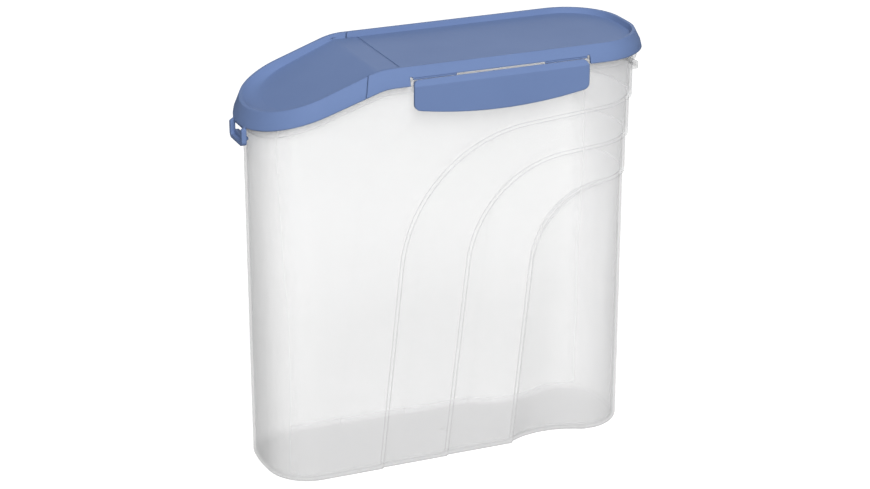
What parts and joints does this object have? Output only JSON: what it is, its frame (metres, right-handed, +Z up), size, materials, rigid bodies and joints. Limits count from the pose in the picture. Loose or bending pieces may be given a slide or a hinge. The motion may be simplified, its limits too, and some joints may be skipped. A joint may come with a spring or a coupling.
{
  "type": "food storage container",
  "caption": "Tall narrow food container with stepped, finger-dished walls, a clip-on lid and a flip-up pouring spout.",
  "frame": {"origin": "centre of the flat base that the container stands on", "axes": "+Z up, -X towards the pouring spout, Y across the narrow width"},
  "size_m": [0.2498, 0.0924, 0.25],
  "materials": {
    "clear_plastic": "milky translucent, fine satin",
    "lid_plastic": "satin, slate blue"
  },
  "bodies": {
    "tub": {"tub": "clear_plastic"},
    "lid": {"lid_cover": "lid_plastic", "spout_hinge": "lid_plastic", "left_clip_hinges": "lid_plastic", "right_clip_hinges": "lid_plastic"},
    "spout": {"flip_spout": "lid_plastic"},
    "left_clip": {"left_clip": "lid_plastic"},
    "right_clip": {"right_clip": "lid_plastic"}
  },
  "joints": [
    {"name": "lid_lift", "type": "slide", "parent": "tub", "child": "lid", "axis": [0, 0, 1], "range_m": [0, 0.06]},
    {"name": "spout_flip", "type": "hinge", "parent": "lid", "child": "spout", "pos_m": [-0.0357, 0, 0.24647], "axis": [0, 1, 0], "range_deg": [0, 110]},
    {"name": "left_clip_hinge", "type": "hinge", "parent": "lid", "child": "left_clip", "pos_m": [0.0215, -0.04335, 0.2434], "axis": [-1, 0, 0], "range_deg": [0, 110]},
    {"name": "right_clip_hinge", "type": "hinge", "parent": "lid", "child": "right_clip", "pos_m": [0.0215, 0.04335, 0.2434], "axis": [1, 0, 0], "range_deg": [0, 110]}
  ]
}
